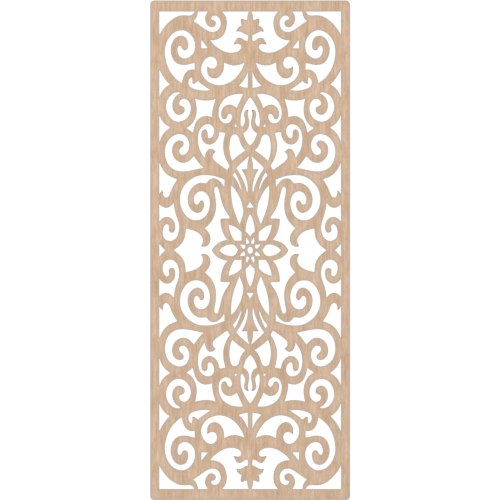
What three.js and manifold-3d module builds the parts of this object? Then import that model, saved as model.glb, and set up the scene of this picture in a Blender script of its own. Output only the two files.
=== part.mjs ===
// Carved wall panel: one flat board of pale wood, pierced right through with scrolls, leaves and a
// flower. The pattern is the same left and right of the middle, and the same above and below it.
// Millimetres. X runs to the right as the front is looked at, Z runs up, and the front faces -Y.
// The back lies in the plane y = 0. The origin is on the back, in the middle of the top rail.

import * as THREE from "three";
import { mergeVertices } from "three/addons/utils/BufferGeometryUtils.js";
import Module from "manifold-3d";

const solids = await Module();
solids.setup();

// The board
const panelWidth = 400;
const panelHeight = 1000;
const panelThickness = 6;
const cornerRadius = 9;

// The plain frame round the pattern
const railEdge = 478; // inner edge of the top rail, above the middle of the panel
const stileEdge = 181.8; // inner edge of the right stile, to the right of the middle
const mountHeight = 489; // middle of the top rail, above the middle of the panel

// How closely straight facets follow the curves
const facetError = 0.78;
const stepsBetweenPoints = 12;
const cornerSteps = 6;
const flowerEyeSteps = 12;
const scrollEyeSteps = 8;

// How far a cut runs past the two faces of the board
const cutMargin = 1;

// How the curves are evened out: each point of a long run is drawn in towards its neighbours and
// then pushed back out, and stays within evenLimit of its own place
const longRun = 6;
const drawIn = 0.6;
const pushOut = 0.62;
const evenLimit = 0.4;

const woodColour = 0xd0b399;

// The openings of the top right quarter. Each point is its distance to the right of the middle of
// the panel and its height above it. An opening is a list of runs: a run starts at a sharp corner
// and curves smoothly through its points to the corner of the next run, or back to the first one.

// Between the frame's corner and the big corner scroll
const cornerSpandrel = [
  [[111, railEdge]],
  [[stileEdge, railEdge]],
  [
    [stileEdge, 431], [176, 441], [168, 451.3], [160, 458.8], [150, 465.9], [141, 469.5],
    [131, 470.7], [122, 469.5], [117, 470.8], [114, 474],
  ],
];

// Inside the small scroll under the top rail
const topScroll = [
  [[84.5, railEdge]],
  [[104.3, railEdge], [105.5, 472], [108, 465.3]],
  [
    [113.5, 458.8], [105, 453.2], [95, 446.5], [86, 440.2], [77, 436.9], [67.8, 438.3], [61.5, 444.8],
    [59, 454], [60.8, 463], [65.8, 468.2], [71.5, 469.8], [76.3, 468], [78.2, 464], [77.3, 461.5],
    [73.5, 461.3], [69.8, 458], [68.6, 454], [70.5, 449.3], [76, 446.3], [82, 447.8], [87.2, 453.5],
    [90, 462], [89.4, 470],
  ],
];

// Beside the crown that stands on the middle of the top rail
const crownSide = [
  [[2.5, railEdge], [4.5, 473], [5.5, 468]],
  [[6.3, 461], [9, 461], [12, 462.3], [15, 463.3]],
  [[18.3, 463], [18.7, 460], [18.6, 456.5], [17.6, 452.5]],
  [[17, 449.5], [20, 448.5], [23.5, 446], [26, 442.5]],
  [[27.5, 437.5], [24.5, 438], [21, 438.1], [17, 436.6], [13, 434], [9, 432.5]],
  [[4.5, 430.5]],
  [[4.5, 422]],
  [[5.5, 418.8], [10, 419.5], [13, 422], [17, 424.5], [22, 425.7], [26, 424.3], [29, 420.5], [31, 416]],
  [
    [33.5, 412.3], [31, 412], [27, 412.8], [23, 413], [19.5, 411.5], [17.8, 408.5], [18, 405],
    [20, 402], [23, 399.3], [27, 397], [32, 396], [37, 395.5], [43, 395.8], [49, 397.2], [55, 399.5],
    [61, 403], [67.3, 407.1], [72.5, 411.6], [77, 416.2],
  ],
  [
    [79.8, 421], [75, 420.3], [70, 421], [65, 423], [59.5, 425.2], [54, 430.2], [50.5, 436.5],
    [48, 444], [46.7, 452], [46.8, 459], [48.3, 466], [51.4, 472.5],
  ],
  [[56.3, railEdge]],
];

// Small wedge between the scrolls
const scrollWedge = [
  [[97.6, 421.3]],
  [[97.7, 404.3]],
  [[84.6, 404.5], [90.5, 412]],
];

// Inside the big corner scroll
const cornerScroll = [
  [[111, 361.6], [111, 368]],
  [
    [111, 374.8], [115, 374.4], [120, 373], [126, 371.5], [133, 371], [140, 371.8], [146, 374],
    [151, 378], [155, 384], [157.8, 391], [159, 399], [158.8, 406], [157, 413], [153, 420.5],
    [148.5, 426.3], [143, 428.7], [137, 429.3], [131, 427.6], [127.2, 423.4], [124.9, 417.8],
    [124, 411], [124.3, 406], [126.5, 402], [130.5, 400.2], [134.5, 401.5], [136.5, 405],
    [138.5, 408.5], [141.5, 409.8], [144.3, 407.5], [145.3, 402], [144.6, 396], [142.6, 390.3],
    [138.7, 386.5], [133.5, 384], [128, 384], [122.5, 386.5], [117, 390.5], [113.5, 395.4],
    [111.2, 400.2], [110.4, 409], [111.5, 418], [114.5, 425.6], [119.8, 432], [126.2, 437.8],
    [133, 440], [140, 440.1], [147, 438.4], [153.7, 434.4], [159.5, 429], [164.5, 421.7],
    [168.1, 413.8], [170, 405], [170.6, 396], [170, 388], [168.5, 380], [166, 371], [162, 361.5],
    [157, 353], [151, 346], [145, 340.5], [140, 336.5],
  ],
  [
    [137, 334.5], [135.8, 338], [135, 343], [133, 349], [130, 354], [125.5, 359], [121, 361],
    [116, 362],
  ],
];

// Inside the scroll below the crown
const crownScroll = [
  [[11.5, 375.5], [16.5, 373.4], [22, 371.1], [30, 370], [37, 370.3], [44, 372.2]],
  [
    [51.5, 376], [52.5, 372], [52.2, 366], [53.4, 360.3], [56.6, 353.5], [60.7, 348.7],
    [65.5, 345.3], [71, 344.2], [77, 345], [82, 348.5], [85, 354], [86.3, 360],
  ],
  [
    [85.5, 368.5], [83, 366], [79, 364.3], [74.5, 363.7], [70.5, 365], [67.5, 369], [66.3, 374],
    [67.5, 379.8], [70.7, 384.3], [74.8, 387], [79.5, 387.4], [85, 386], [90, 382], [94, 376.5],
    [97, 370], [98, 363], [97.5, 356], [95.1, 350.2], [91, 344], [85.6, 338.6], [79, 334.5],
    [71, 331.9], [62, 330.2], [53, 331.5], [45, 334.5], [37, 338.5], [30, 344], [24, 351],
    [19, 358], [15.3, 365], [13, 370],
  ],
];

// Wedge beside the upper stem
const stemWedge = [
  [[4.5, 357]],
  [[4.8, 325.3], [13, 326.3]],
  [[22.5, 329.5], [14.2, 338.6], [8.2, 348.4]],
];

// Two-tailed slot between the scrolls
const tailedSlot = [
  [[79.5, 320.7], [88, 326.2], [97, 332.5]],
  [[104.3, 338.9], [107.5, 336.5], [111, 334]],
  [
    [115.5, 333.6], [115.8, 340], [117.6, 346.7], [121.2, 343], [123.3, 337], [122.7, 330.5],
    [117.5, 325.5], [109, 322.2], [98, 320], [88, 319.5],
  ],
];

// Upper wedge against the stile
const upperStileWedge = [
  [[stileEdge, 361.5]],
  [[stileEdge, 306], [177.5, 316], [170.5, 325]],
  [[160.8, 332.3], [167.4, 338.6], [175, 349.5]],
];

// Inside the upper side scroll
const upperSideScroll = [
  [
    [139, 315], [145, 316.4], [153, 314.6], [161, 307.8], [166.6, 298], [168.2, 287], [166, 276.3],
    [159.9, 265.6], [152.3, 259.4], [143, 257.7], [132.8, 259.8], [124.6, 267.2], [119.4, 278],
    [119, 288], [122.8, 297.6], [127.8, 302.2], [133.8, 303.1], [139.5, 300.5], [142.2, 294.5],
    [140.5, 290], [136, 288.8], [131.5, 285.5], [131, 279.5], [135, 273.5], [142, 271], [149.2, 273.1],
    [154.2, 280.8], [155.7, 290.5], [153.6, 300.2], [148.3, 309.3],
  ],
];

// Middle wedge against the stile
const middleStileWedge = [
  [[stileEdge, 270.5]],
  [[stileEdge, 215.5], [178, 225.8], [170.6, 236.9]],
  [[160, 245.7], [169.5, 251.8], [177, 260.5]],
];

// Four-cornered gap between the side scrolls
const scrollDiamond = [
  [[69, 303], [75, 300.9], [85, 299.9], [95, 300.1], [103, 301.2]],
  [
    [110, 303.3], [108.5, 296], [107.4, 288], [106.9, 280], [107.8, 272], [110, 265], [113.6, 257.3],
    [119, 250.2],
  ],
  [[127.3, 244.8], [124, 242], [119.2, 239]],
  [
    [115, 235.5], [113.5, 240], [112, 247], [109, 254.5], [104.9, 261.3], [99.2, 265.9], [92, 268.3],
    [86, 269], [80.5, 267.5],
  ],
  [[76.3, 266.5], [76, 272], [75.6, 279], [74, 286], [72, 293]],
];

// Comma beside the lyre
const comma = [
  [
    [14, 312.5], [20, 313], [28, 312.8], [35, 311], [42.3, 308.6], [49, 304.8], [54.9, 298.9],
    [59.4, 291.8], [62, 284.2], [63, 275], [62.5, 268], [60.5, 262.5], [57, 258], [52, 254.8],
    [47, 254], [42, 256], [38.5, 260], [36.5, 265], [36.5, 270], [38.3, 272.3], [41, 273.4],
    [44, 272], [45.5, 269], [47, 265], [49.5, 263], [52, 262.4], [55.5, 264], [57.5, 268.5],
    [58, 274], [57, 280], [54, 285.5], [49.8, 289.1], [45, 291.1], [39, 291.5], [33, 289.5],
    [29, 286.4],
  ],
  [[26.7, 284.8], [25.4, 288], [23.1, 293.3], [20, 300.3], [16.3, 307.5]],
];

// Bell beside the middle stem
const bell = [
  [
    [9.3, 200], [12.6, 203.3], [16.5, 208.4], [20, 215], [21.5, 221], [23.5, 227], [27, 231], [31, 232],
    [35.5, 230.5], [38, 226.5], [40, 220], [41, 212], [41.5, 204], [40.7, 196], [39, 188], [37, 182],
  ],
  [[35.5, 179.3], [30.2, 184.6], [24.3, 189.3], [18.4, 193.8], [12.3, 198]],
];

// Inside the middle scroll
const middleScroll = [
  [[49.7, 234.5], [55, 236]],
  [
    [61.5, 236.5], [62.3, 232], [64, 226], [67.5, 219.5], [72, 215], [78, 212], [83.5, 211.8],
    [89, 213.5], [93.5, 217.5], [96.5, 223], [97.8, 229], [97.3, 234.5], [95.5, 239], [92.5, 241.8],
    [89.5, 242], [86.5, 239.5], [84.9, 235], [85.2, 230], [84, 226.4], [81.5, 224], [78, 225.3],
    [74.5, 229.5], [72.5, 235], [72, 240], [73.3, 245], [76.5, 249.5], [80.5, 251.7], [86, 252.2],
    [91.5, 250.5], [96.5, 247], [100.5, 241], [103, 235], [104, 228], [104.5, 220], [103.6, 212],
    [102, 204.8], [99.5, 198.3], [96.4, 193], [93, 188],
  ],
  [[91, 184.8], [90.3, 188], [89.5, 193], [86, 199.5], [82, 202.5], [78, 203.3], [73.5, 201.5]],
  [
    [69, 197], [71, 195.2], [73.5, 192.3], [74.8, 188], [74, 183.2], [70.5, 178.9], [64.6, 173.9],
    [57.6, 169], [51.6, 164.8], [47.5, 161.7],
  ],
  [[45.3, 161.2], [43.3, 165]],
  [
    [41, 169.8], [44.5, 175], [47.5, 181], [50.5, 188], [52.8, 195], [53.7, 203], [54, 211],
    [53.3, 219], [51.5, 226],
  ],
];

// Inside the lower side scroll
const lowerSideScroll = [
  [[93.5, 165.2], [97, 168.5], [100, 171.5], [104.4, 176.6], [108.5, 182.6]],
  [
    [112.5, 188.2], [115, 186.5], [118, 182.5], [123, 178.3], [129, 175.7], [135, 175],
    [141, 176.5], [147, 180], [152, 185.5], [155, 192], [156, 199], [155.8, 206], [153, 212.5],
    [148, 217.5], [142, 219.8], [136.5, 219], [133.5, 215.5], [133, 211.5], [135.5, 207],
    [139.5, 204.5], [141.6, 200.2], [141.6, 195.7], [139.2, 192.1], [134.5, 191], [130, 192],
    [126, 196.5], [122.8, 203.2], [121.9, 210], [123.3, 218], [126.5, 225], [131.5, 229.9],
    [137.5, 232.2], [144, 232.1], [151, 230.3], [158, 226], [163.5, 220], [167.5, 212.5],
    [170, 204], [170.3, 195], [169.2, 185.7], [166.4, 176.7], [161.3, 168.7], [155, 163.3],
    [148, 160.1], [140, 158], [132, 158], [124, 159], [115, 160.5], [106, 162.5], [99, 164],
  ],
];

// Gap between the lower side scroll, the wreath and the stile
const lowerStileGap = [
  [
    [stileEdge, 176], [179.8, 170.8], [176.4, 164.7], [172.4, 158.1], [167.8, 153], [162.2, 149],
    [155, 145.2], [149.3, 143.4],
  ],
  [
    [146.2, 141.6], [151, 133.7], [155, 127.3], [158.4, 119.7], [161, 112], [164, 107.5],
    [167.5, 105.5], [171, 106.5], [173.7, 110], [174.5, 115],
  ],
  [[175, 120.5], [177.5, 118], [179.5, 115.5]],
  [[stileEdge, 112.5]],
];

// Inside the large wreath scroll
const wreathScroll = [
  [[52, 126.5], [51.3, 133]],
  [
    [51.5, 141.5], [57, 143.5], [64, 146.3], [72, 148.8], [81, 150], [90, 150.4], [99, 150.2],
    [108, 147.5], [117.3, 143], [125, 137], [131, 130], [136, 122.5], [139, 114], [140.3, 105],
    [140, 96], [138.5, 88], [135, 79.5], [130, 71.5], [123.6, 65.2], [115.8, 61.3], [108, 60.1],
    [100, 61.5], [93.5, 65], [88, 70.5], [84, 77], [81.6, 85.2], [80.8, 93], [81.2, 100.8],
    [83.4, 107.1], [87.5, 113.5], [93, 117], [99, 118.2], [104, 116.5], [108.5, 113], [111.5, 108],
    [112.5, 102], [111.5, 96], [109.5, 92.5], [106.5, 91], [103.5, 93], [101.5, 96.5], [99, 99.5],
    [96, 100], [93, 97], [92, 92], [93, 85.5], [96.5, 78.5], [102, 75], [108, 75], [114, 78],
    [119, 82.5], [122.5, 88.5], [124.5, 95.5], [125, 103], [123.8, 110], [121, 118], [117, 124.5],
    [111, 130], [105, 133.5], [99, 135], [93, 135], [89, 133.8], [86.5, 135.5], [83, 140],
    [78, 143.3], [72.5, 144], [66, 142], [60, 138], [56, 133],
  ],
];

// Inside the small scroll against the stile
const stileScroll = [
  [[153, 95], [155, 92.5], [158, 89], [163, 86], [168.5, 84.8], [173.5, 86], [178, 89]],
  [[stileEdge, 92]],
  [
    [stileEdge, 57], [179.5, 60], [176.5, 63], [171.5, 66], [166, 67], [160.5, 65.5], [155.5, 62],
    [152, 57], [150.3, 51], [150, 45], [151, 39.5], [153, 36.3], [156.5, 35.2], [160.5, 36.3],
    [162.7, 39.5], [163, 43], [162, 46.5], [163, 50], [166, 52.5], [169, 51.5], [172, 47.5],
    [174.3, 42], [175, 35], [174.3, 29.2], [171.5, 24.1], [167.3, 20.7], [161.5, 18.8], [156, 19.5],
    [150, 23], [146.5, 27.5], [144, 33], [142.5, 40], [142, 47], [143, 54.5], [145.5, 62],
    [148, 69.5], [150.5, 78], [151.8, 86],
  ],
];

// Beside the spearhead on the stem
const spearSide = [
  [
    [2, 188.8], [7.4, 184], [13.5, 178.5], [19.6, 173], [24.5, 168.3], [27, 164.5], [27.3, 163.5],
    [25, 160.3], [21.7, 155], [18, 148.6], [14.3, 141], [10.4, 131.7], [7.8, 123.2], [6.6, 118.2],
    [5.7, 115.8], [5, 119], [5, 125], [5.5, 133], [7.5, 141.5], [10.5, 149.5], [13.5, 156],
  ],
  [[17, 162]],
  [[6, 162.3], [5.5, 172], [4.5, 179], [3, 185]],
];

// Long slit beside the spearhead
const longSlit = [
  [[30.8, 156], [33, 153]],
  [
    [34.8, 150], [30.5, 145], [26.5, 139], [24, 134], [21.5, 129], [19.3, 123.5], [18, 121],
    [18, 125], [19.5, 130], [22, 137.5], [25, 145], [28, 151.5],
  ],
];

// Long petal above the flower
const longPetal = [
  [
    [37.7, 129.5], [38.3, 120], [37.8, 111], [36.5, 101], [35.2, 90.7], [31.9, 79.3], [28.4, 69.8],
    [24.7, 60],
  ],
  [
    [21.3, 52], [19.7, 56], [18, 61], [16.3, 66], [14.2, 71], [13.7, 78], [14.7, 85], [15.9, 90.8],
    [17.4, 96.3], [19.5, 103], [23.4, 109.8], [27.4, 117.6], [32.4, 124.4],
  ],
];

// Slanting petal of the flower
const slantingPetal = [
  [[43.3, 51], [42, 43.5], [40, 36.5], [37, 29.5], [33.5, 23]],
  [[31, 19.3]],
  [[17.1, 19.3]],
  [[17.4, 36], [20.9, 39.8], [25.3, 43.2], [31, 47], [37, 49.5]],
];

// Upright slot of the star in the middle of the flower
const uprightStarSlot = [
  [[7.3, 25.6], [8.3, 21.6], [8.3, 17]],
  [[7, 12.1], [4.5, 13.2]],
  [[1.6, 15.3], [3.6, 19.3], [5.6, 22.6]],
];

// Level slot of the star
const levelStarSlot = [
  [[9.3, 9.8], [14, 11.2]],
  [[20.6, 11.4], [18.4, 8], [15.6, 4.8]],
  [[12.6, 2.4], [10.4, 5.2]],
];

// Openings that lie across the upright middle line: the right half, from the top to the bottom
const lyre = [
  [
    [0, 306.7], [3.2, 302.8], [7.4, 296.6], [11.6, 288.8], [15, 281.2], [17.3, 274.2], [18.7, 267],
    [19, 260], [19, 253], [18, 248.5], [16.5, 247.3], [14.5, 249.5], [12, 252.5], [10.3, 257],
    [10.4, 262], [11.5, 267], [12.4, 271], [11.5, 276], [9, 279.5], [6, 281.5],
  ],
  [
    [3, 281.5], [4.1, 277], [4.4, 272], [3.6, 266], [2.2, 260], [1.7, 255], [2.7, 247.5], [5.3, 241.6],
    [8.7, 237.7],
  ],
  [[13.5, 234.7], [12.5, 230], [10.5, 224], [7, 217.5], [3.5, 213]],
  [[0, 209.7]],
];
const stemTip = [
  [[0, 97], [3, 92]],
  [[6.9, 85.6]],
  [[0, 85.3]],
];
const uprightPetal = [
  [[0, 72.4], [1.7, 70], [4.1, 64.4], [6.3, 57.5], [8, 50.5], [8.9, 44]],
  [[8.9, 37.6], [6.8, 35.5], [4.4, 33.7], [2.2, 31]],
  [[0, 27.9]],
];

// Openings that lie across the level middle line: the upper half, from the right to the left
const sideGap = [
  [
    [152.6, 0], [143.6, 7.1], [138.6, 11.7], [134, 18.5], [131, 25.5], [129.5, 33], [129, 40],
  ],
  [
    [128.5, 43.5], [122, 42], [115, 40.2], [108.4, 37.5], [103.7, 34.3], [98.9, 30.2], [95.8, 25.6],
    [94.7, 20], [95, 14.2],
  ],
  [
    [98.3, 8.3], [94, 7], [89, 7.5], [84.5, 10], [81.5, 14.5], [79.5, 20.5], [79.8, 27.4],
    [82.2, 34.1], [86.3, 39.6],
  ],
  [
    [90.2, 44.4], [85.6, 48.6], [80.6, 53.6], [76, 59.7], [72.5, 67.5], [69.5, 76], [68.3, 84],
    [68.5, 92], [68.7, 101], [70, 109], [71.6, 117], [71.6, 121.8], [70.5, 125.5], [68, 127],
    [65.5, 126], [64, 123.5], [62.5, 119], [60.5, 111], [58.5, 103], [55.5, 92], [52, 83.5],
    [48, 77], [44.5, 71.5],
  ],
  [[40.5, 65.5], [42, 63.7], [50, 63.8]],
  [[59.3, 63], [59.3, 58], [58.5, 50], [56.7, 42], [54.1, 34.1], [50.6, 27.8], [47, 22.5]],
  [[45.5, 21.3], [50, 20], [57, 18], [63, 15], [69, 10.5], [74, 5]],
  [[76.5, 0]],
];
const stileNotch = [
  [[stileEdge, 0]],
  [[stileEdge, 13], [179.5, 10], [176.5, 6.5], [173, 3]],
  [[170.3, 0]],
];
const levelPetal = [
  [[61.5, 0], [58, 4], [52.7, 7.4], [46, 10.2], [39, 11.4], [33, 11], [29, 7.5], [26.5, 3.2]],
  [[24.5, 0]],
];

// Round holes: the middle and the two half sizes
const flowerEye = { middle: [0, 0], halfWidth: 5.3, halfHeight: 6.8 };
const scrollEye = { middle: [28.9, 249.3], halfWidth: 2, halfHeight: 2.5 };

const quarterOpenings = [
  cornerSpandrel, topScroll, crownSide, scrollWedge, cornerScroll, crownScroll, stemWedge,
  tailedSlot, upperStileWedge, upperSideScroll, middleStileWedge, scrollDiamond, comma, bell,
  middleScroll, lowerSideScroll, lowerStileGap, wreathScroll, stileScroll, spearSide, longSlit,
  longPetal, slantingPetal, uprightStarSlot, levelStarSlot,
];
const uprightAxisOpenings = [lyre, stemTip, uprightPetal];
const levelAxisOpenings = [sideGap, stileNotch, levelPetal];

// Moves every point but the two ends by a share of its way to the line between its neighbours.
function drawn(points, share) {
  return points.map((point, i) => {
    if (i === 0 || i === points.length - 1) return point;
    const [before, after] = [points[i - 1], points[i + 1]];
    const lengths = [point.distanceTo(before), point.distanceTo(after)];
    const onLine = before.clone().lerp(after, lengths[0] / (lengths[0] + lengths[1]));
    return point.clone().lerp(onLine, share);
  });
}

// Takes the small wobbles out of a long run of points. Its two ends stay where they are.
function evened(points) {
  if (points.length < longRun) return points;
  const even = drawn(drawn(points, drawIn), -pushOut);
  return even.map((point, i) => {
    const shift = point.clone().sub(points[i]).clampLength(0, evenLimit);
    return points[i].clone().add(shift);
  });
}

// The points of one run, from its own corner up to, but without, the corner where it ends.
function pointsOfRun(run, end) {
  if (run.length === 1) return [run[0]];
  const through = evened([...run, end].map(([x, z]) => new THREE.Vector3(x, z, 0)));
  const curve = new THREE.CatmullRomCurve3(through, false, "centripetal");
  const fine = curve.getPoints(stepsBetweenPoints * run.length).map((p) => [p.x, p.y]);
  return thinned(fine).slice(0, -1);
}

// How far a point lies from the straight line between two others.
function distanceToLine([x, z], [x1, z1], [x2, z2]) {
  const along = [x2 - x1, z2 - z1];
  const squared = along[0] ** 2 + along[1] ** 2;
  const share = squared > 0 ? ((x - x1) * along[0] + (z - z1) * along[1]) / squared : 0;
  const part = Math.min(1, Math.max(0, share));
  return Math.hypot(x - x1 - part * along[0], z - z1 - part * along[1]);
}

// Leaves out the points that lie closer than facetError to the line between the points kept.
function thinned(points) {
  const first = points[0];
  const last = points[points.length - 1];
  let farthest = 0;
  let distance = 0;
  points.forEach((point, i) => {
    const away = distanceToLine(point, first, last);
    if (away > distance) {
      distance = away;
      farthest = i;
    }
  });
  if (distance <= facetError) return [first, last];
  return [...thinned(points.slice(0, farthest + 1)).slice(0, -1), ...thinned(points.slice(farthest))];
}

// The closed outline of an opening that lies wholly in one quarter.
function closedOutline(runs) {
  return runs.flatMap((run, i) => pointsOfRun(run, runs[(i + 1) % runs.length][0]));
}

// The closed outline of an opening of which one half is given, with flip as its mirror.
function mirroredOutline(runs, flip) {
  const half = runs.slice(0, -1).flatMap((run, i) => pointsOfRun(run, runs[i + 1][0]));
  const end = runs[runs.length - 1][0];
  const otherHalf = half.slice(1).reverse().map(flip);
  return [...half, end, ...otherHalf];
}

// The outline of a round hole, in straight steps.
function ellipse({ middle, halfWidth, halfHeight }, steps) {
  return Array.from({ length: steps }, (_, i) => {
    const turn = (2 * Math.PI * i) / steps;
    return [middle[0] + halfWidth * Math.cos(turn), middle[1] + halfHeight * Math.sin(turn)];
  });
}

const leftRight = ([x, z]) => [-x, z];
const upDown = ([x, z]) => [x, -z];

// Every opening of the whole panel as a closed outline.
function allOutlines() {
  const quarters = quarterOpenings.map(closedOutline);
  quarters.push(ellipse(scrollEye, scrollEyeSteps));
  const tops = uprightAxisOpenings.map((runs) => mirroredOutline(runs, leftRight));
  const sides = levelAxisOpenings.map((runs) => mirroredOutline(runs, upDown));
  const rightHalf = [...quarters, ...quarters.map((outline) => outline.map(upDown)), ...sides];
  return [
    ...rightHalf,
    ...rightHalf.map((outline) => outline.map(leftRight)),
    ...tops,
    ...tops.map((outline) => outline.map(upDown)),
    ellipse(flowerEye, flowerEyeSteps),
  ];
}

// The board's own outline, with its four corners rounded.
function boardOutline() {
  const x = panelWidth / 2 - cornerRadius;
  const z = panelHeight / 2 - cornerRadius;
  const middles = [[x, z], [-x, z], [-x, -z], [x, -z]];
  return middles.flatMap(([middleX, middleZ], quarter) =>
    Array.from({ length: cornerSteps + 1 }, (_, i) => {
      const turn = (Math.PI / 2) * (quarter + i / cornerSteps);
      return [middleX + cornerRadius * Math.cos(turn), middleZ + cornerRadius * Math.sin(turn)];
    }),
  );
}

// An upright slab over a closed outline, as a solid that lies between two values of y.
function slab(outline, back, front) {
  const shape = new THREE.Shape(outline.map(([x, z]) => new THREE.Vector2(x, z)));
  const geometry = new THREE.ExtrudeGeometry(shape, { depth: back - front, bevelEnabled: false });
  geometry.rotateX(Math.PI / 2);
  geometry.translate(0, back, -mountHeight);
  geometry.deleteAttribute("normal");
  geometry.deleteAttribute("uv");
  const merged = mergeVertices(geometry);
  const mesh = new solids.Mesh({
    numProp: 3,
    vertProperties: merged.attributes.position.array,
    triVerts: new Uint32Array(merged.index.array),
  });
  return new solids.Manifold(mesh);
}

// The board cut through with every opening, standing upright with its back at y = 0.
function makePanel() {
  const front = -panelThickness;
  let board = slab(boardOutline(), 0, front);
  for (const outline of allOutlines()) {
    board = board.subtract(slab(outline, cutMargin, front - cutMargin));
  }
  const { vertProperties, triVerts } = board.getMesh();
  const geometry = new THREE.BufferGeometry();
  geometry.setAttribute("position", new THREE.BufferAttribute(vertProperties, 3));
  geometry.setIndex(new THREE.BufferAttribute(triVerts, 1));
  geometry.computeVertexNormals();
  const wood = new THREE.MeshStandardMaterial({ color: woodColour, roughness: 0.6, metalness: 0 });
  const panel = new THREE.Mesh(geometry, wood);
  panel.name = "panel";
  return panel;
}

const carvedPanel = new THREE.Group();
carvedPanel.add(makePanel());

export default carvedPanel;
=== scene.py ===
"""Carved wall panel: one flat board of pale wood, cut right through with scrolls, leaves and a flower.

Metres, +Z up. The front faces -Y and the flat back lies in the plane y = 0. The cut pattern is the
same left and right of the middle and the same above and below it, so only a quarter is listed.
"""

import math

import bmesh
import bpy
from mathutils import Matrix, Vector


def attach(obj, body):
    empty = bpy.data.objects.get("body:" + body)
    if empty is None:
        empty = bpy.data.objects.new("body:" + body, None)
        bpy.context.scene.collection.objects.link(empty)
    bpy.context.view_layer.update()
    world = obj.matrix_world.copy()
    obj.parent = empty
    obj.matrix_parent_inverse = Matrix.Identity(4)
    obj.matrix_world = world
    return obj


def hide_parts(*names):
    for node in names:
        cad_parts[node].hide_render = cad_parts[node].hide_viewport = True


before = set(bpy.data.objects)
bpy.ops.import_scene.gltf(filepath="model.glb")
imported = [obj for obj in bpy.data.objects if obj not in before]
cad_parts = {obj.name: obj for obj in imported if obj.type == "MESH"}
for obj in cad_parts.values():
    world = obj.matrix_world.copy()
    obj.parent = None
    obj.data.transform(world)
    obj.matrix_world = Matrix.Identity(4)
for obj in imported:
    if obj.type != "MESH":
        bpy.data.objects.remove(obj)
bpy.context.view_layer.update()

MM = 0.001

# The board, in millimetres
PANEL_WIDTH = 400
PANEL_HEIGHT = 1000
PANEL_THICKNESS = 6
CORNER_RADIUS = 9
MOUNT_HEIGHT = 489  # middle of the top rail, above the middle of the panel

# The plain frame round the pattern
RAIL_EDGE = 478  # inner edge of the top rail, above the middle of the panel
STILE_EDGE = 181.8  # inner edge of the right stile, to the right of the middle

# How the curves are evened out: each point of a run of at least LONG_RUN points is drawn in
# towards its neighbours by one share and then pushed back out by another, and stays within
# EVEN_LIMIT millimetres of its own place
LONG_RUN = 6
DRAW_IN = 0.6
PUSH_OUT = 0.62
EVEN_LIMIT = 0.4

# The eased edges that sanding leaves along every cut, in millimetres, with no step between the
# face and the cut, and the number of straight steps in each piece of a curve
EASED_EDGE = 0.35
EASED_STEPS = 0
CURVE_STEPS = 6

# A face that looks along Y by more than FLAT_FACE belongs to the flat front or back. A corner that
# turns by more than SHARP_CORNER stays crisp. Points closer than MERGE_DISTANCE, in millimetres,
# become one.
FLAT_FACE = 0.999
SHARP_CORNER = math.radians(35)
MERGE_DISTANCE = 0.01

# The openings of the top right quarter, in millimetres to the right of the middle of the panel and
# above it. An opening is a list of runs: a run starts at a sharp corner and curves smoothly through
# its points to the corner of the next run, or back to the first one.

# Between the frame's corner and the big corner scroll
CORNER_SPANDREL = [
    [(111, RAIL_EDGE)],
    [(STILE_EDGE, RAIL_EDGE)],
    [
        (STILE_EDGE, 431), (176, 441), (168, 451.3), (160, 458.8), (150, 465.9), (141, 469.5),
        (131, 470.7), (122, 469.5), (117, 470.8), (114, 474),
    ],
]

# Inside the small scroll under the top rail
TOP_SCROLL = [
    [(84.5, RAIL_EDGE)],
    [(104.3, RAIL_EDGE), (105.5, 472), (108, 465.3)],
    [
        (113.5, 458.8), (105, 453.2), (95, 446.5), (86, 440.2), (77, 436.9), (67.8, 438.3),
        (61.5, 444.8), (59, 454), (60.8, 463), (65.8, 468.2), (71.5, 469.8), (76.3, 468),
        (78.2, 464), (77.3, 461.5), (73.5, 461.3), (69.8, 458), (68.6, 454), (70.5, 449.3),
        (76, 446.3), (82, 447.8), (87.2, 453.5), (90, 462), (89.4, 470),
    ],
]

# Beside the crown that stands on the middle of the top rail
CROWN_SIDE = [
    [(2.5, RAIL_EDGE), (4.5, 473), (5.5, 468)],
    [(6.3, 461), (9, 461), (12, 462.3), (15, 463.3)],
    [(18.3, 463), (18.7, 460), (18.6, 456.5), (17.6, 452.5)],
    [(17, 449.5), (20, 448.5), (23.5, 446), (26, 442.5)],
    [(27.5, 437.5), (24.5, 438), (21, 438.1), (17, 436.6), (13, 434), (9, 432.5)],
    [(4.5, 430.5)],
    [(4.5, 422)],
    [
        (5.5, 418.8), (10, 419.5), (13, 422), (17, 424.5), (22, 425.7), (26, 424.3), (29, 420.5),
        (31, 416),
    ],
    [
        (33.5, 412.3), (31, 412), (27, 412.8), (23, 413), (19.5, 411.5), (17.8, 408.5), (18, 405),
        (20, 402), (23, 399.3), (27, 397), (32, 396), (37, 395.5), (43, 395.8), (49, 397.2),
        (55, 399.5), (61, 403), (67.3, 407.1), (72.5, 411.6), (77, 416.2),
    ],
    [
        (79.8, 421), (75, 420.3), (70, 421), (65, 423), (59.5, 425.2), (54, 430.2), (50.5, 436.5),
        (48, 444), (46.7, 452), (46.8, 459), (48.3, 466), (51.4, 472.5),
    ],
    [(56.3, RAIL_EDGE)],
]

# Small wedge between the scrolls
SCROLL_WEDGE = [
    [(97.6, 421.3)],
    [(97.7, 404.3)],
    [(84.6, 404.5), (90.5, 412)],
]

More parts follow.
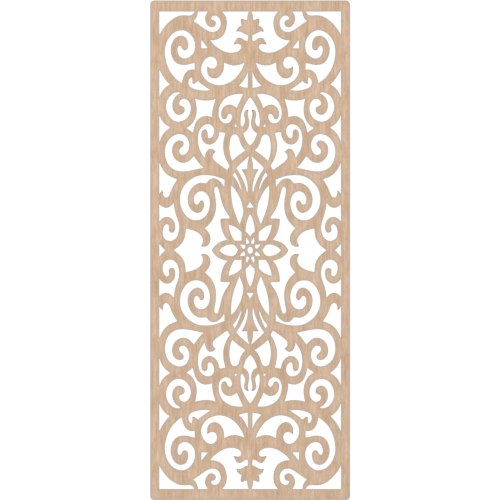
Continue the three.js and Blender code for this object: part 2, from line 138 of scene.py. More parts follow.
# Inside the big corner scroll
CORNER_SCROLL = [
    [(111, 361.6), (111, 368)],
    [
        (111, 374.8), (115, 374.4), (120, 373), (126, 371.5), (133, 371), (140, 371.8), (146, 374),
        (151, 378), (155, 384), (157.8, 391), (159, 399), (158.8, 406), (157, 413), (153, 420.5),
        (148.5, 426.3), (143, 428.7), (137, 429.3), (131, 427.6), (127.2, 423.4), (124.9, 417.8),
        (124, 411), (124.3, 406), (126.5, 402), (130.5, 400.2), (134.5, 401.5), (136.5, 405),
        (138.5, 408.5), (141.5, 409.8), (144.3, 407.5), (145.3, 402), (144.6, 396), (142.6, 390.3),
        (138.7, 386.5), (133.5, 384), (128, 384), (122.5, 386.5), (117, 390.5), (113.5, 395.4),
        (111.2, 400.2), (110.4, 409), (111.5, 418), (114.5, 425.6), (119.8, 432), (126.2, 437.8),
        (133, 440), (140, 440.1), (147, 438.4), (153.7, 434.4), (159.5, 429), (164.5, 421.7),
        (168.1, 413.8), (170, 405), (170.6, 396), (170, 388), (168.5, 380), (166, 371),
        (162, 361.5), (157, 353), (151, 346), (145, 340.5), (140, 336.5),
    ],
    [
        (137, 334.5), (135.8, 338), (135, 343), (133, 349), (130, 354), (125.5, 359), (121, 361),
        (116, 362),
    ],
]

# Inside the scroll below the crown
CROWN_SCROLL = [
    [(11.5, 375.5), (16.5, 373.4), (22, 371.1), (30, 370), (37, 370.3), (44, 372.2)],
    [
        (51.5, 376), (52.5, 372), (52.2, 366), (53.4, 360.3), (56.6, 353.5), (60.7, 348.7),
        (65.5, 345.3), (71, 344.2), (77, 345), (82, 348.5), (85, 354), (86.3, 360),
    ],
    [
        (85.5, 368.5), (83, 366), (79, 364.3), (74.5, 363.7), (70.5, 365), (67.5, 369), (66.3, 374),
        (67.5, 379.8), (70.7, 384.3), (74.8, 387), (79.5, 387.4), (85, 386), (90, 382), (94, 376.5),
        (97, 370), (98, 363), (97.5, 356), (95.1, 350.2), (91, 344), (85.6, 338.6), (79, 334.5),
        (71, 331.9), (62, 330.2), (53, 331.5), (45, 334.5), (37, 338.5), (30, 344), (24, 351),
        (19, 358), (15.3, 365), (13, 370),
    ],
]

# Wedge beside the upper stem
STEM_WEDGE = [
    [(4.5, 357)],
    [(4.8, 325.3), (13, 326.3)],
    [(22.5, 329.5), (14.2, 338.6), (8.2, 348.4)],
]

# Two-tailed slot between the scrolls
TAILED_SLOT = [
    [(79.5, 320.7), (88, 326.2), (97, 332.5)],
    [(104.3, 338.9), (107.5, 336.5), (111, 334)],
    [
        (115.5, 333.6), (115.8, 340), (117.6, 346.7), (121.2, 343), (123.3, 337), (122.7, 330.5),
        (117.5, 325.5), (109, 322.2), (98, 320), (88, 319.5),
    ],
]

# Upper wedge against the stile
UPPER_STILE_WEDGE = [
    [(STILE_EDGE, 361.5)],
    [(STILE_EDGE, 306), (177.5, 316), (170.5, 325)],
    [(160.8, 332.3), (167.4, 338.6), (175, 349.5)],
]

# Inside the upper side scroll
UPPER_SIDE_SCROLL = [
    [
        (139, 315), (145, 316.4), (153, 314.6), (161, 307.8), (166.6, 298), (168.2, 287),
        (166, 276.3), (159.9, 265.6), (152.3, 259.4), (143, 257.7), (132.8, 259.8), (124.6, 267.2),
        (119.4, 278), (119, 288), (122.8, 297.6), (127.8, 302.2), (133.8, 303.1), (139.5, 300.5),
        (142.2, 294.5), (140.5, 290), (136, 288.8), (131.5, 285.5), (131, 279.5), (135, 273.5),
        (142, 271), (149.2, 273.1), (154.2, 280.8), (155.7, 290.5), (153.6, 300.2), (148.3, 309.3),
    ],
]

# Middle wedge against the stile
MIDDLE_STILE_WEDGE = [
    [(STILE_EDGE, 270.5)],
    [(STILE_EDGE, 215.5), (178, 225.8), (170.6, 236.9)],
    [(160, 245.7), (169.5, 251.8), (177, 260.5)],
]

# Four-cornered gap between the side scrolls
SCROLL_DIAMOND = [
    [(69, 303), (75, 300.9), (85, 299.9), (95, 300.1), (103, 301.2)],
    [
        (110, 303.3), (108.5, 296), (107.4, 288), (106.9, 280), (107.8, 272), (110, 265),
        (113.6, 257.3), (119, 250.2),
    ],
    [(127.3, 244.8), (124, 242), (119.2, 239)],
    [
        (115, 235.5), (113.5, 240), (112, 247), (109, 254.5), (104.9, 261.3), (99.2, 265.9),
        (92, 268.3), (86, 269), (80.5, 267.5),
    ],
    [(76.3, 266.5), (76, 272), (75.6, 279), (74, 286), (72, 293)],
]

# Comma beside the lyre
COMMA = [
    [
        (14, 312.5), (20, 313), (28, 312.8), (35, 311), (42.3, 308.6), (49, 304.8), (54.9, 298.9),
        (59.4, 291.8), (62, 284.2), (63, 275), (62.5, 268), (60.5, 262.5), (57, 258), (52, 254.8),
        (47, 254), (42, 256), (38.5, 260), (36.5, 265), (36.5, 270), (38.3, 272.3), (41, 273.4),
        (44, 272), (45.5, 269), (47, 265), (49.5, 263), (52, 262.4), (55.5, 264), (57.5, 268.5),
        (58, 274), (57, 280), (54, 285.5), (49.8, 289.1), (45, 291.1), (39, 291.5), (33, 289.5),
        (29, 286.4),
    ],
    [(26.7, 284.8), (25.4, 288), (23.1, 293.3), (20, 300.3), (16.3, 307.5)],
]

# Bell beside the middle stem
BELL = [
    [
        (9.3, 200), (12.6, 203.3), (16.5, 208.4), (20, 215), (21.5, 221), (23.5, 227), (27, 231),
        (31, 232), (35.5, 230.5), (38, 226.5), (40, 220), (41, 212), (41.5, 204), (40.7, 196),
        (39, 188), (37, 182),
    ],
    [(35.5, 179.3), (30.2, 184.6), (24.3, 189.3), (18.4, 193.8), (12.3, 198)],
]

# Inside the middle scroll
MIDDLE_SCROLL = [
    [(49.7, 234.5), (55, 236)],
    [
        (61.5, 236.5), (62.3, 232), (64, 226), (67.5, 219.5), (72, 215), (78, 212), (83.5, 211.8),
        (89, 213.5), (93.5, 217.5), (96.5, 223), (97.8, 229), (97.3, 234.5), (95.5, 239),
        (92.5, 241.8), (89.5, 242), (86.5, 239.5), (84.9, 235), (85.2, 230), (84, 226.4),
        (81.5, 224), (78, 225.3), (74.5, 229.5), (72.5, 235), (72, 240), (73.3, 245), (76.5, 249.5),
        (80.5, 251.7), (86, 252.2), (91.5, 250.5), (96.5, 247), (100.5, 241), (103, 235),
        (104, 228), (104.5, 220), (103.6, 212), (102, 204.8), (99.5, 198.3), (96.4, 193), (93, 188),
    ],
    [(91, 184.8), (90.3, 188), (89.5, 193), (86, 199.5), (82, 202.5), (78, 203.3), (73.5, 201.5)],
    [
        (69, 197), (71, 195.2), (73.5, 192.3), (74.8, 188), (74, 183.2), (70.5, 178.9),
        (64.6, 173.9), (57.6, 169), (51.6, 164.8), (47.5, 161.7),
    ],
    [(45.3, 161.2), (43.3, 165)],
    [
        (41, 169.8), (44.5, 175), (47.5, 181), (50.5, 188), (52.8, 195), (53.7, 203), (54, 211),
        (53.3, 219), (51.5, 226),
    ],
]

# Inside the lower side scroll
LOWER_SIDE_SCROLL = [
    [(93.5, 165.2), (97, 168.5), (100, 171.5), (104.4, 176.6), (108.5, 182.6)],
    [
        (112.5, 188.2), (115, 186.5), (118, 182.5), (123, 178.3), (129, 175.7), (135, 175),
        (141, 176.5), (147, 180), (152, 185.5), (155, 192), (156, 199), (155.8, 206), (153, 212.5),
        (148, 217.5), (142, 219.8), (136.5, 219), (133.5, 215.5), (133, 211.5), (135.5, 207),
        (139.5, 204.5), (141.6, 200.2), (141.6, 195.7), (139.2, 192.1), (134.5, 191), (130, 192),
        (126, 196.5), (122.8, 203.2), (121.9, 210), (123.3, 218), (126.5, 225), (131.5, 229.9),
        (137.5, 232.2), (144, 232.1), (151, 230.3), (158, 226), (163.5, 220), (167.5, 212.5),
        (170, 204), (170.3, 195), (169.2, 185.7), (166.4, 176.7), (161.3, 168.7), (155, 163.3),
        (148, 160.1), (140, 158), (132, 158), (124, 159), (115, 160.5), (106, 162.5), (99, 164),
    ],
]

# Gap between the lower side scroll, the wreath and the stile
LOWER_STILE_GAP = [
    [
        (STILE_EDGE, 176), (179.8, 170.8), (176.4, 164.7), (172.4, 158.1), (167.8, 153),
        (162.2, 149), (155, 145.2), (149.3, 143.4),
    ],
    [
        (146.2, 141.6), (151, 133.7), (155, 127.3), (158.4, 119.7), (161, 112), (164, 107.5),
        (167.5, 105.5), (171, 106.5), (173.7, 110), (174.5, 115),
    ],
    [(175, 120.5), (177.5, 118), (179.5, 115.5)],
    [(STILE_EDGE, 112.5)],
]

# Inside the large wreath scroll
WREATH_SCROLL = [
    [(52, 126.5), (51.3, 133)],
    [
        (51.5, 141.5), (57, 143.5), (64, 146.3), (72, 148.8), (81, 150), (90, 150.4), (99, 150.2),
        (108, 147.5), (117.3, 143), (125, 137), (131, 130), (136, 122.5), (139, 114), (140.3, 105),
        (140, 96), (138.5, 88), (135, 79.5), (130, 71.5), (123.6, 65.2), (115.8, 61.3), (108, 60.1),
        (100, 61.5), (93.5, 65), (88, 70.5), (84, 77), (81.6, 85.2), (80.8, 93), (81.2, 100.8),
        (83.4, 107.1), (87.5, 113.5), (93, 117), (99, 118.2), (104, 116.5), (108.5, 113),
        (111.5, 108), (112.5, 102), (111.5, 96), (109.5, 92.5), (106.5, 91), (103.5, 93),
        (101.5, 96.5), (99, 99.5), (96, 100), (93, 97), (92, 92), (93, 85.5), (96.5, 78.5),
        (102, 75), (108, 75), (114, 78), (119, 82.5), (122.5, 88.5), (124.5, 95.5), (125, 103),
        (123.8, 110), (121, 118), (117, 124.5), (111, 130), (105, 133.5), (99, 135), (93, 135),
        (89, 133.8), (86.5, 135.5), (83, 140), (78, 143.3), (72.5, 144), (66, 142), (60, 138),
        (56, 133),
    ],
]

# Inside the small scroll against the stile
STILE_SCROLL = [
    [(153, 95), (155, 92.5), (158, 89), (163, 86), (168.5, 84.8), (173.5, 86), (178, 89)],
    [(STILE_EDGE, 92)],
    [
        (STILE_EDGE, 57), (179.5, 60), (176.5, 63), (171.5, 66), (166, 67), (160.5, 65.5),
        (155.5, 62), (152, 57), (150.3, 51), (150, 45), (151, 39.5), (153, 36.3), (156.5, 35.2),
        (160.5, 36.3), (162.7, 39.5), (163, 43), (162, 46.5), (163, 50), (166, 52.5), (169, 51.5),
        (172, 47.5), (174.3, 42), (175, 35), (174.3, 29.2), (171.5, 24.1), (167.3, 20.7),
        (161.5, 18.8), (156, 19.5), (150, 23), (146.5, 27.5), (144, 33), (142.5, 40), (142, 47),
        (143, 54.5), (145.5, 62), (148, 69.5), (150.5, 78), (151.8, 86),
    ],
]

# Beside the spearhead on the stem
SPEAR_SIDE = [
    [
        (2, 188.8), (7.4, 184), (13.5, 178.5), (19.6, 173), (24.5, 168.3), (27, 164.5),
        (27.3, 163.5), (25, 160.3), (21.7, 155), (18, 148.6), (14.3, 141), (10.4, 131.7),
        (7.8, 123.2), (6.6, 118.2), (5.7, 115.8), (5, 119), (5, 125), (5.5, 133), (7.5, 141.5),
        (10.5, 149.5), (13.5, 156),
    ],
    [(17, 162)],
    [(6, 162.3), (5.5, 172), (4.5, 179), (3, 185)],
]

# Long slit beside the spearhead
LONG_SLIT = [
    [(30.8, 156), (33, 153)],
    [
        (34.8, 150), (30.5, 145), (26.5, 139), (24, 134), (21.5, 129), (19.3, 123.5), (18, 121),
        (18, 125), (19.5, 130), (22, 137.5), (25, 145), (28, 151.5),
    ],
]

# Long petal above the flower
LONG_PETAL = [
    [
        (37.7, 129.5), (38.3, 120), (37.8, 111), (36.5, 101), (35.2, 90.7), (31.9, 79.3),
        (28.4, 69.8), (24.7, 60),
    ],
    [
        (21.3, 52), (19.7, 56), (18, 61), (16.3, 66), (14.2, 71), (13.7, 78), (14.7, 85),
        (15.9, 90.8), (17.4, 96.3), (19.5, 103), (23.4, 109.8), (27.4, 117.6), (32.4, 124.4),
    ],
]

# Slanting petal of the flower
SLANTING_PETAL = [
    [(43.3, 51), (42, 43.5), (40, 36.5), (37, 29.5), (33.5, 23)],
    [(31, 19.3)],
    [(17.1, 19.3)],
    [(17.4, 36), (20.9, 39.8), (25.3, 43.2), (31, 47), (37, 49.5)],
]

# Upright slot of the star in the middle of the flower
UPRIGHT_STAR_SLOT = [
    [(7.3, 25.6), (8.3, 21.6), (8.3, 17)],
    [(7, 12.1), (4.5, 13.2)],
    [(1.6, 15.3), (3.6, 19.3), (5.6, 22.6)],
]

# Level slot of the star
LEVEL_STAR_SLOT = [
    [(9.3, 9.8), (14, 11.2)],
    [(20.6, 11.4), (18.4, 8), (15.6, 4.8)],
    [(12.6, 2.4), (10.4, 5.2)],
]

# Openings that lie across the upright middle line: the right half, from the top to the bottom
LYRE = [
    [
        (0, 306.7), (3.2, 302.8), (7.4, 296.6), (11.6, 288.8), (15, 281.2), (17.3, 274.2),
        (18.7, 267), (19, 260), (19, 253), (18, 248.5), (16.5, 247.3), (14.5, 249.5), (12, 252.5),
        (10.3, 257), (10.4, 262), (11.5, 267), (12.4, 271), (11.5, 276), (9, 279.5), (6, 281.5),
    ],
    [
        (3, 281.5), (4.1, 277), (4.4, 272), (3.6, 266), (2.2, 260), (1.7, 255), (2.7, 247.5),
        (5.3, 241.6), (8.7, 237.7),
    ],
    [(13.5, 234.7), (12.5, 230), (10.5, 224), (7, 217.5), (3.5, 213)],
    [(0, 209.7)],
]
STEM_TIP = [
    [(0, 97), (3, 92)],
    [(6.9, 85.6)],
    [(0, 85.3)],
]
UPRIGHT_PETAL = [
    [(0, 72.4), (1.7, 70), (4.1, 64.4), (6.3, 57.5), (8, 50.5), (8.9, 44)],
    [(8.9, 37.6), (6.8, 35.5), (4.4, 33.7), (2.2, 31)],
    [(0, 27.9)],
]

# Openings that lie across the level middle line: the upper half, from the right to the left
SIDE_GAP = [
    [(152.6, 0), (143.6, 7.1), (138.6, 11.7), (134, 18.5), (131, 25.5), (129.5, 33), (129, 40)],
    [
        (128.5, 43.5), (122, 42), (115, 40.2), (108.4, 37.5), (103.7, 34.3), (98.9, 30.2),
        (95.8, 25.6), (94.7, 20), (95, 14.2),
    ],
    [
        (98.3, 8.3), (94, 7), (89, 7.5), (84.5, 10), (81.5, 14.5), (79.5, 20.5), (79.8, 27.4),
        (82.2, 34.1), (86.3, 39.6),
    ],
    [
        (90.2, 44.4), (85.6, 48.6), (80.6, 53.6), (76, 59.7), (72.5, 67.5), (69.5, 76), (68.3, 84),
        (68.5, 92), (68.7, 101), (70, 109), (71.6, 117), (71.6, 121.8), (70.5, 125.5), (68, 127),
        (65.5, 126), (64, 123.5), (62.5, 119), (60.5, 111), (58.5, 103), (55.5, 92), (52, 83.5),
        (48, 77), (44.5, 71.5),
    ],
    [(40.5, 65.5), (42, 63.7), (50, 63.8)],
    [(59.3, 63), (59.3, 58), (58.5, 50), (56.7, 42), (54.1, 34.1), (50.6, 27.8), (47, 22.5)],
    [(45.5, 21.3), (50, 20), (57, 18), (63, 15), (69, 10.5), (74, 5)],
    [(76.5, 0)],
]
STILE_NOTCH = [
    [(STILE_EDGE, 0)],
    [(STILE_EDGE, 13), (179.5, 10), (176.5, 6.5), (173, 3)],
    [(170.3, 0)],
]
LEVEL_PETAL = [
    [(61.5, 0), (58, 4), (52.7, 7.4), (46, 10.2), (39, 11.4), (33, 11), (29, 7.5), (26.5, 3.2)],
    [(24.5, 0)],
]


# Round holes: the middle and the two half sizes
FLOWER_EYE = ((0, 0), 5.3, 6.8)
SCROLL_EYE = ((28.9, 249.3), 2, 2.5)

QUARTER_OPENINGS = [
    CORNER_SPANDREL, TOP_SCROLL, CROWN_SIDE, SCROLL_WEDGE, CORNER_SCROLL, CROWN_SCROLL, STEM_WEDGE,
    TAILED_SLOT, UPPER_STILE_WEDGE, UPPER_SIDE_SCROLL, MIDDLE_STILE_WEDGE, SCROLL_DIAMOND, COMMA,
    BELL, MIDDLE_SCROLL, LOWER_SIDE_SCROLL, LOWER_STILE_GAP, WREATH_SCROLL, STILE_SCROLL, SPEAR_SIDE,
    LONG_SLIT, LONG_PETAL, SLANTING_PETAL, UPRIGHT_STAR_SLOT, LEVEL_STAR_SLOT,
]
UPRIGHT_AXIS_OPENINGS = [LYRE, STEM_TIP, UPRIGHT_PETAL]
LEVEL_AXIS_OPENINGS = [SIDE_GAP, STILE_NOTCH, LEVEL_PETAL]


def drawn(points, share):
    """Moves every point but the two ends by a share of its way to the line between its neighbours."""
    moved = list(points)
    for i in range(1, len(points) - 1):
        before, point, after = points[i - 1 : i + 2]
        lengths = (point - before).length, (after - point).length
        on_line = before.lerp(after, lengths[0] / (lengths[0] + lengths[1]))
        moved[i] = point.lerp(on_line, share)
    return moved


def evened(points):
    """Takes the small wobbles out of a long run of points. Its two ends stay where they are."""
    if len(points) < LONG_RUN:
        return points
    even = []
    for point, moved in zip(points, drawn(drawn(points, DRAW_IN), -PUSH_OUT)):
        shift = moved - point
        if shift.length > EVEN_LIMIT:
            shift.length = EVEN_LIMIT
        even.append(point + shift)
    return even


def run_slopes(before, start, end, after):
    """Slopes at the two ends of one piece of a centripetal Catmull-Rom curve, in its own length."""
    gaps = [math.sqrt((b - a).length) for a, b in ((before, start), (start, end), (end, after))]
    gap = gaps[1]
    at_start = (start - before) / gaps[0] - (end - before) / (gaps[0] + gap) + (end - start) / gap
    at_end = (end - start) / gap - (after - start) / (gap + gaps[2]) + (after - end) / gaps[2]
    return at_start * gap, at_end * gap


def run_knots(run, end):
    """Knots of one run, each as (point, handle before, handle after); the last one is its end."""
    points = evened([Vector(point) for point in run] + [Vector(end)])
    knots = [[point, point, point] for point in points]
    if len(run) == 1:
        return knots
    padded = [points[0] * 2 - points[1], *points, points[-1] * 2 - points[-2]]
    for i in range(len(points) - 1):
        at_start, at_end = run_slopes(*padded[i : i + 4])
        knots[i][2] = points[i] + at_start / 3
        knots[i + 1][1] = points[i + 1] - at_end / 3
    return knots


def joined_knots(runs, ends):
    """Knots of several runs in a row, with each corner's knot made from the two runs it joins."""
    knots = []
    for run, end in zip(runs, ends):
        new = run_knots(run, end)
        if knots:
            new[0][1] = knots.pop()[1]
        knots += new
    return knots


def closed_knots(runs):
    """Knots of an opening that lies wholly in one quarter."""
    knots = joined_knots(runs, [run[0] for run in runs[1:] + runs[:1]])
    last = knots.pop()
    knots[0][1] = last[1]
    return knots


def turned_over(knots, flip):
    """The same knots in a mirror, still in their own order."""
    return [[Vector((v.x * flip[0], v.y * flip[1])) for v in knot] for knot in knots]


def mirrored_knots(runs, flip):
    """Knots of an opening of which one half is given, with its other half in the mirror."""
    half = joined_knots(runs[:-1], [run[0] for run in runs[1:]])
    other = [[p, after, before] for p, before, after in reversed(turned_over(half, flip))]
    half[0][1] = other[-1][1]
    half[-1][2] = other[0][2]
    return half + other[1:-1]


def arc_knots(middle, radii, turns):
    """Knots along an arc of an ellipse, at even steps through these turns, given in radians."""
    reach = 4 / 3 * math.tan((turns[1] - turns[0]) / 4)
    knots = []
    for turn in turns:
        point = middle + Vector((math.cos(turn), math.sin(turn))) * radii
        along = Vector((-math.sin(turn), math.cos(turn))) * radii * reach
        knots.append([point, point - along, point + along])
    return knots


def ellipse_knots(middle, half_width, half_height):
    """Four knots of an upright ellipse."""
    turns = [quarter * math.pi / 2 for quarter in range(4)]
    return arc_knots(Vector(middle), Vector((half_width, half_height)), turns)


def board_knots():
    """Knots of the board's own outline, with three to each of its four rounded corners."""
    corner = Vector((PANEL_WIDTH / 2 - CORNER_RADIUS, PANEL_HEIGHT / 2 - CORNER_RADIUS))
    knots = []
    for quarter, side in enumerate(((1, 1), (-1, 1), (-1, -1), (1, -1))):
        turns = [(quarter + half / 2) * math.pi / 2 for half in range(3)]
        arc = arc_knots(corner * Vector(side), Vector((CORNER_RADIUS, CORNER_RADIUS)), turns)
        arc[0][1] = arc[0][0]
        arc[-1][2] = arc[-1][0]
        knots += arc
    return knots


def all_knots():
    """Every outline of the panel: the board first, then its openings."""
    quarters = [closed_knots(runs) for runs in QUARTER_OPENINGS]
    quarters.append(ellipse_knots(*SCROLL_EYE))
    tops = [mirrored_knots(runs, (-1, 1)) for runs in UPRIGHT_AXIS_OPENINGS]
    sides = [mirrored_knots(runs, (1, -1)) for runs in LEVEL_AXIS_OPENINGS]
    outlines = [board_knots(), ellipse_knots(*FLOWER_EYE)]
    outlines += [turned_over(knots, (x, y)) for knots in quarters for x in (1, -1) for y in (1, -1)]
    outlines += [turned_over(knots, (1, y)) for knots in tops for y in (1, -1)]
    outlines += [turned_over(knots, (x, 1)) for knots in sides for x in (1, -1)]
    return outlines


def cut_board():
    """The flat curve of the board with its openings, given its thickness and its eased edges."""
    curve = bpy.data.curves.new("panel_outline", "CURVE")
    curve.dimensions = "2D"
    curve.fill_mode = "BOTH"
    curve.resolution_u = CURVE_STEPS
    curve.render_resolution_u = CURVE_STEPS
    curve.extrude = (PANEL_THICKNESS / 2 - EASED_EDGE) * MM
    curve.bevel_depth = EASED_EDGE * MM
    curve.bevel_resolution = EASED_STEPS
    curve.offset = -EASED_EDGE * MM
    for knots in all_knots():
        spline = curve.splines.new("BEZIER")
        spline.bezier_points.add(len(knots) - 1)
        for place, (point, before, after) in zip(spline.bezier_points, knots):
            place.handle_left_type = "FREE"
            place.handle_right_type = "FREE"
            place.co = (point * MM).to_3d()
            place.handle_left = (before * MM).to_3d()
            place.handle_right = (after * MM).to_3d()
        spline.use_cyclic_u = True
    return curve


def smooth_between_flats(bm):
    """Shades the cut edges smoothly, and keeps the flat faces and the sharp corners crisp."""
    for face in bm.faces:
        face.smooth = True
    for edge in bm.edges:
        flats = [abs(face.normal.y) > FLAT_FACE for face in edge.link_faces]
        same = len(flats) == 2 and flats[0] == flats[1]
        edge.smooth = same and edge.calc_face_angle(0) < SHARP_CORNER


def make_panel():
    """The board as a mesh, stood upright with its back in the plane y = 0."""
    outline = bpy.data.objects.new("panel_outline", cut_board())
    bpy.context.scene.collection.objects.link(outline)
    bpy.context.view_layer.update()
    mesh = bpy.data.meshes.new_from_object(outline)
    bpy.data.objects.remove(outline)
    mesh.name = "panel_board"
    upright = Matrix.Rotation(math.pi / 2, 4, "X")
    place = Matrix.Translation((0, -PANEL_THICKNESS / 2 * MM, -MOUNT_HEIGHT * MM))
    bm = bmesh.new()
    bm.from_mesh(mesh)
    bmesh.ops.transform(bm, matrix=place @ upright, verts=bm.verts)
    bmesh.ops.remove_doubles(bm, verts=bm.verts, dist=MERGE_DISTANCE * MM)
    bmesh.ops.recalc_face_normals(bm, faces=bm.faces)
    smooth_between_flats(bm)
    bm.to_mesh(mesh)
    bm.free()
    board = bpy.data.objects.new("carved_board", mesh)
    bpy.context.scene.collection.objects.link(board)
    return board


# The grain of the veneer. Each pattern has its size across the board, through it and up it in
# millimetres, then how far it is shifted, in its own sizes, then the detail and the roughness of
# its noise. The pores of real oak are about 0.2 mm wide. They are drawn half a millimetre wide, or
# they wouldn't show.
GRAIN = {
    "streaks": ((6, 20, 110), (0, 0, 0), 4, 0.75),
    "flecks": ((2, 12, 18), (7, 3, 5), 2, 0.6),
    "clouds": ((20, 50, 40), (1, 8, 2), 1, 0.5),
    "pores": ((0.5, 0.5, 9), (0, 0, 0), 2, 0.5),
}
FLECK_SHARE = 0.55  # of flecks in the tone of the wood; the rest is streaks
PORE_DEPTH = 0.2  # in millimetres
PORE_STRENGTH = 0.15
EDGE_SHADE_REACH = 6  # how far from a cut the painted edge shade reaches, in millimetres
CUT_RAYS = 8  # rays that look for a cut round each point

# The tones of the veneer from dark to pale, and the plies of the core from front to back
OAK_TONES = [(0.3, "C1A283"), (0.44, "D2B396"), (0.56, "DEC0A4"), (0.7, "E9D0B5")]
PLIES = [(0, "C3A88C"), (0.12, "B3967A"), (0.37, "CBB296"), (0.63, "B3967A"), (0.88, "C3A88C")]

# Stains in the wood, and in the last two the painted shade beside the cuts: a colour, the value of its
# pattern where there is none of it, the value from where there is most of it, and how strong it is
# there
CLOUD_STAIN = ("F4EDE5", 0.35, 0.65, 1)
PORE_STAIN = ("9C7E60", 0.6, 0.68, 0.5)
# Painted edge shade, led by an inside occlusion node: grey beside every cut, darker in the tips and
# thin bars
EDGE_SHADE_GREY = ("BDB0A1", 1, 0.8, 0.55)
EDGE_SHADE_DARK = ("93816F", 0.56, 0.3, 0.75)

# How far a surface looks along Y, from 0 to 1: all of it is veneer above the first value, and all of
# it is cut edge below the second
VENEER_FACING = 0.98
EDGE_FACING = 0.5

# Bare sanded wood is matt, and reflects as wood fibre does
SANDED_ROUGHNESS = 0.62
WOOD_IOR = 1.5


def linear(hex_colour):
    """An sRGB hex colour as the linear RGBA that a shader takes."""
    values = [int(hex_colour[i : i + 2], 16) / 255 for i in (0, 2, 4)]
    return [v / 12.92 if v <= 0.04045 else ((v + 0.055) / 1.055) ** 2.4 for v in values] + [1]


def repeats(*sizes):
    """How often patterns of these sizes, in millimetres, fit into a metre."""
    return [1 / (size * MM) for size in sizes]


def add_node(tree, kind, links=(), inputs=(), **settings):
    """Adds a node with its settings, its fixed inputs and what its other inputs are linked to."""
    node = tree.nodes.new(kind)
    for name, value in settings.items():
        setattr(node, name, value)
    for socket, value in dict(inputs).items():
        node.inputs[socket].default_value = value
    for socket, source in dict(links).items():
        tree.links.new(source, node.inputs[socket])
    return node


def colour_steps(node, stops):
    """Sets the stops of a colour ramp: (place, hex colour) pairs from the lowest to the highest."""
    ramp = node.color_ramp
    while len(ramp.elements) < len(stops):
        ramp.elements.new(1)
    for element, (place, colour) in zip(ramp.elements, stops):
        element.position = place
        element.color = linear(colour)


def grain_patterns(tree, spot):
    """The patterns of the grain by name, each a noise that is stretched to its own size."""
    patterns = {}
    for name, (size, shift, detail, roughness) in GRAIN.items():
        stretched = add_node(
            tree, "ShaderNodeMapping", {"Vector": spot}, {"Scale": repeats(*size), "Location": shift}
        )
        noise = add_node(
            tree, "ShaderNodeTexNoise", {"Vector": stretched.outputs["Vector"]},
            {"Scale": 1, "Detail": detail, "Roughness": roughness},
        )
        patterns[name] = noise.outputs["Fac"]
    return patterns


def stain_and_shade(tree, wood, pattern, tint, way="MIX"):
    """The colour of the wood with a tint in it, which follows a pattern: a real stain, or the painted
    shade beside the cuts.
    """
    colour, none_at, most_at, strength = tint
    share = add_node(
        tree, "ShaderNodeMapRange", {"Value": pattern},
        {"From Min": none_at, "From Max": most_at, "To Min": 0, "To Max": strength},
    )
    mix = add_node(
        tree, "ShaderNodeMix", {0: share.outputs[0], 6: wood}, {7: linear(colour)},
        data_type="RGBA", blend_type=way,
    )
    return mix.outputs[2]


def oak_veneer(tree, grain):
    """The colour of the sliced oak: streaks and flecks, browner clouds and darker pores."""
    tone = add_node(
        tree, "ShaderNodeMix", {2: grain["streaks"], 3: grain["flecks"]}, {"Factor": FLECK_SHARE}
    )
    wood = add_node(tree, "ShaderNodeValToRGB", {"Fac": tone.outputs[0]})
    colour_steps(wood, OAK_TONES)
    clouded = stain_and_shade(tree, wood.outputs["Color"], grain["clouds"], CLOUD_STAIN, "MULTIPLY")
    return stain_and_shade(tree, clouded, grain["pores"], PORE_STAIN)


def painted_edge_shade(tree, wood):
    """Paints shade into the veneer: greyer beside the cuts and darker in the tips and thin bars, cut
    from both sides, where an inside occlusion node finds a cut close.
    """
    beside = add_node(
        tree, "ShaderNodeAmbientOcclusion", inputs={"Distance": EDGE_SHADE_REACH * MM},
        inside=True, samples=CUT_RAYS,
    )
    # Painted shade: grey near the cuts, then darker where the occlusion is strongest
    grey_shaded = stain_and_shade(tree, wood, beside.outputs["AO"], EDGE_SHADE_GREY)
    return stain_and_shade(tree, grey_shaded, beside.outputs["AO"], EDGE_SHADE_DARK)


def plywood_edges(tree, place, wood):
    """Shows the plies of the core on the cut edges, which don't face front or back."""
    facing = add_node(tree, "ShaderNodeSeparateXYZ", {"Vector": place.outputs["Normal"]})
    flatness = add_node(tree, "ShaderNodeMath", {0: facing.outputs["Y"]}, operation="ABSOLUTE")
    edge_share = add_node(
        tree, "ShaderNodeMapRange", {"Value": flatness.outputs[0]},
        {"From Min": VENEER_FACING, "From Max": EDGE_FACING, "To Min": 0, "To Max": 1},
    )
    depth = add_node(tree, "ShaderNodeSeparateXYZ", {"Vector": place.outputs["Object"]})
    ply = add_node(
        tree, "ShaderNodeMapRange", {"Value": depth.outputs["Y"]},
        {"From Min": -PANEL_THICKNESS * MM, "From Max": 0, "To Min": 0, "To Max": 1},
    )
    plies = add_node(tree, "ShaderNodeValToRGB", {"Fac": ply.outputs[0]})
    plies.color_ramp.interpolation = "CONSTANT"
    colour_steps(plies, PLIES)
    edged = add_node(
        tree, "ShaderNodeMix",
        {0: edge_share.outputs[0], 6: wood, 7: plies.outputs["Color"]},
        data_type="RGBA",
    )
    return edged.outputs[2]


def sanded_oak_board():
    """Oak-faced plywood, cut out with a fine router bit and sanded, without stain or lacquer.

    The sliced veneer gives straight upright grain: soft streaks about 6 mm wide that fade after
    some hundred millimetres, short flecks between them, and fine pores. Sanding leaves it matt.
    Painted edge shade makes it a little greyer in the last few millimetres before each cut.
    """
    material = bpy.data.materials.new("sanded_oak_board")
    material.use_nodes = True
    tree = material.node_tree
    tree.nodes.clear()
    place = add_node(tree, "ShaderNodeTexCoord")
    grain = grain_patterns(tree, place.outputs["Object"])
    colour = plywood_edges(tree, place, painted_edge_shade(tree, oak_veneer(tree, grain)))
    pores = add_node(
        tree, "ShaderNodeBump", {"Height": grain["pores"]},
        {"Strength": PORE_STRENGTH, "Distance": PORE_DEPTH * MM},
    )
    wood = add_node(
        tree, "ShaderNodeBsdfPrincipled",
        {"Base Color": colour, "Normal": pores.outputs["Normal"]},
        {"Roughness": SANDED_ROUGHNESS, "IOR": WOOD_IOR},
    )
    add_node(tree, "ShaderNodeOutputMaterial", {"Surface": wood.outputs["BSDF"]})
    return material


board = make_panel()
board.data.materials.clear()
board.data.materials.append(sanded_oak_board())
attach(board, "root")
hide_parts("panel")

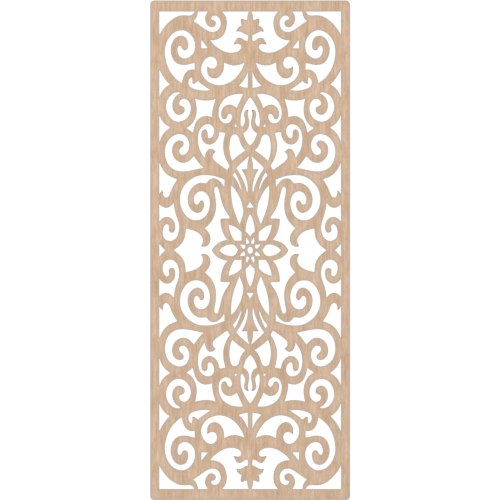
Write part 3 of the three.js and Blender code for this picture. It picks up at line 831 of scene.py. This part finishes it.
# The floor, in metres. It ends where the front view would start to show it.
FLOOR_HEIGHT = -1.35
FLOOR_LEFT, FLOOR_RIGHT = -9, 9
FLOOR_FRONT, FLOOR_BACK = -13, 7
FLOOR_COLOUR = "EFEFEE"
FLOOR_ROUGHNESS = 0.9

# The white surround: how strongly it lights the panel, and how bright it looks
ROOM_LIGHT = 0.68
ROOM_SEEN = 1.02

# Two wide round lamps, one before the panel and one behind it: places in metres, power in watts
LAMP_WIDTH = 4
LAMP_AIM = (0, 0, -0.45)
KEY_PLACE, KEY_POWER = (-3.6, -8, 3), 260
FILL_PLACE, FILL_POWER = (3.5, 7, 2.5), 200

# The photograph looks at the middle of the panel from straight in front, with a long lens. The
# panel is 499.75 pixels high in a picture of 500, with its middle just right of and below the
# picture's own.
IMAGE_SIDE = 500
PIXELS_PER_METRE = 499.75
PIXELS_RIGHT = 0.125
PIXELS_BELOW = 0.28
VIEW_DISTANCE = 10
SENSOR_WIDTH = 36
NEAREST_SEEN, FURTHEST_SEEN = 0.1, 100


def plain_floor():
    """A pale floor of matt white paper, well below the panel, which hangs."""
    bm = bmesh.new()
    bmesh.ops.create_grid(bm, x_segments=1, y_segments=1, size=1)
    size = ((FLOOR_RIGHT - FLOOR_LEFT) / 2, (FLOOR_BACK - FLOOR_FRONT) / 2, 1)
    centre = ((FLOOR_RIGHT + FLOOR_LEFT) / 2, (FLOOR_BACK + FLOOR_FRONT) / 2, FLOOR_HEIGHT)
    bmesh.ops.scale(bm, vec=size, verts=bm.verts)
    bmesh.ops.translate(bm, vec=centre, verts=bm.verts)
    mesh = bpy.data.meshes.new("floor")
    bm.to_mesh(mesh)
    bm.free()
    floor = bpy.data.objects.new("floor", mesh)
    bpy.context.scene.collection.objects.link(floor)
    material = bpy.data.materials.new("white_paper")
    material.use_nodes = True
    paper = material.node_tree.nodes["Principled BSDF"]
    paper.inputs["Base Color"].default_value = linear(FLOOR_COLOUR)
    paper.inputs["Roughness"].default_value = FLOOR_ROUGHNESS
    floor.data.materials.append(material)


def soft_light(name, place, power):
    """A wide round lamp that shines on the panel and isn't seen itself."""
    lamp = bpy.data.lights.new(name, "AREA")
    lamp.shape = "DISK"
    lamp.size = LAMP_WIDTH
    lamp.energy = power
    light = bpy.data.objects.new(name, lamp)
    light.location = place
    light.rotation_euler = (Vector(LAMP_AIM) - Vector(place)).to_track_quat("-Z", "Y").to_euler()
    light.visible_camera = False
    bpy.context.scene.collection.objects.link(light)


def white_room():
    """An even white surround, seen as pure white and a little dimmer as light on the panel."""
    world = bpy.data.worlds.new("white_room")
    bpy.context.scene.world = world
    world.use_nodes = True
    tree = world.node_tree
    tree.nodes.clear()
    seen = add_node(tree, "ShaderNodeLightPath")
    strength = add_node(
        tree, "ShaderNodeMapRange", {"Value": seen.outputs["Is Camera Ray"]},
        {"To Min": ROOM_LIGHT, "To Max": ROOM_SEEN},
    )
    room = add_node(
        tree, "ShaderNodeBackground", {"Strength": strength.outputs[0]}, {"Color": (1, 1, 1, 1)}
    )
    add_node(tree, "ShaderNodeOutputWorld", {"Surface": room.outputs[0]})


def front_camera():
    """The camera straight in front of the panel, level with its middle."""
    lens = bpy.data.cameras.new("camera")
    lens.sensor_width = SENSOR_WIDTH
    lens.lens = SENSOR_WIDTH * VIEW_DISTANCE * PIXELS_PER_METRE / IMAGE_SIDE
    lens.clip_start = NEAREST_SEEN
    lens.clip_end = FURTHEST_SEEN
    middle = Vector((0, -PANEL_THICKNESS * MM, -MOUNT_HEIGHT * MM))
    aside = Vector((-PIXELS_RIGHT, 0, PIXELS_BELOW)) / PIXELS_PER_METRE
    camera = bpy.data.objects.new("camera", lens)
    camera.location = middle + aside + Vector((0, -VIEW_DISTANCE, 0))
    camera.rotation_euler = (math.pi / 2, 0, 0)
    bpy.context.scene.collection.objects.link(camera)
    bpy.context.scene.camera = camera


white_room()
plain_floor()
soft_light("key", KEY_PLACE, KEY_POWER)
soft_light("fill", FILL_PLACE, FILL_POWER)
front_camera()

bpy.context.scene.view_settings.view_transform = "Standard"
